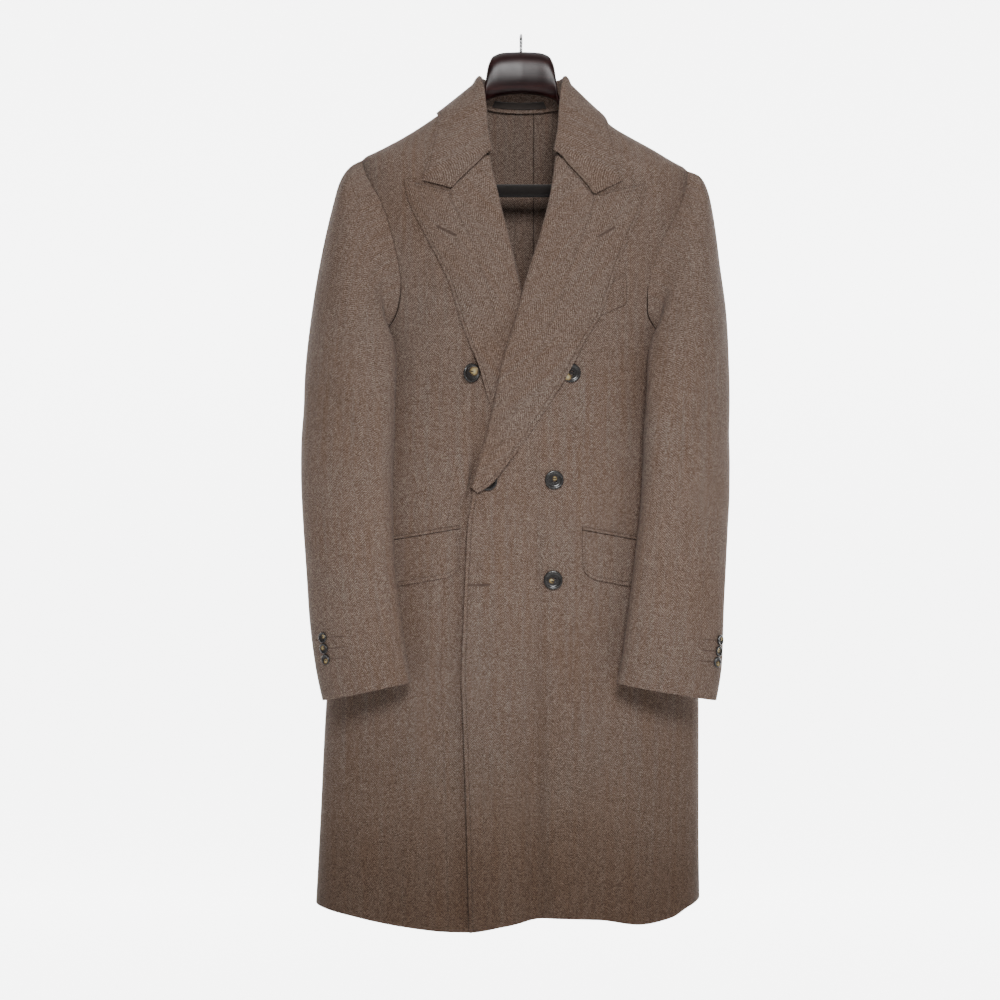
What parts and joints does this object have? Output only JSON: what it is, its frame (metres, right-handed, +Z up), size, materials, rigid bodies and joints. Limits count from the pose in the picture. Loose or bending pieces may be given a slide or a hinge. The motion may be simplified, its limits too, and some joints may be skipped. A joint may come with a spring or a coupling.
{
  "type": "herringbone overcoat on a hanger",
  "caption": "Double-breasted herringbone overcoat with peak lapels, flap pockets and a chest welt, hung closed on a contoured wooden hanger with a trouser bar and wire hook.",
  "frame": {"origin": "underside of the top of the hook's bow, where it rests on a rail", "axes": "+Z up, -Y towards the front of the coat, +X towards the wearer's left"},
  "size_m": [0.553, 0.2314, 1.163],
  "materials": {
    "cloth": "brushed wool herringbone",
    "horn": "polished horn look with pale patches",
    "tape": "plain woven",
    "wood": "dark gloss lacquer",
    "flock": "flocked",
    "chrome": "polished"
  },
  "bodies": {
    "root": {"front_left": "cloth", "front_right": "cloth", "back_left": "cloth", "back_right": "cloth", "lapel_left": "cloth", "lapel_right": "cloth", "collar": "cloth", "hanging_loop": "tape", "top_sleeve_left": "cloth", "under_sleeve_left": "cloth", "top_sleeve_right": "cloth", "under_sleeve_right": "cloth", "pocket_flap_right": "cloth", "pocket_jet_right": "cloth", "pocket_flap_left": "cloth", "pocket_jet_left": "cloth", "chest_welt": "cloth", "front_button_left_top": "horn", "front_button_left_middle": "horn", "front_button_left_low": "horn", "front_button_right_top": "horn", "front_button_right_middle": "horn", "front_button_right_low": "horn", "cuff_button_right_1": "horn", "cuff_button_right_2": "horn", "cuff_button_right_3": "horn", "cuff_button_left_1": "horn", "cuff_button_left_2": "horn", "cuff_button_left_3": "horn", "hanger_body": "wood", "trouser_bar": "flock", "hook": "chrome"}
  },
  "joints": []
}
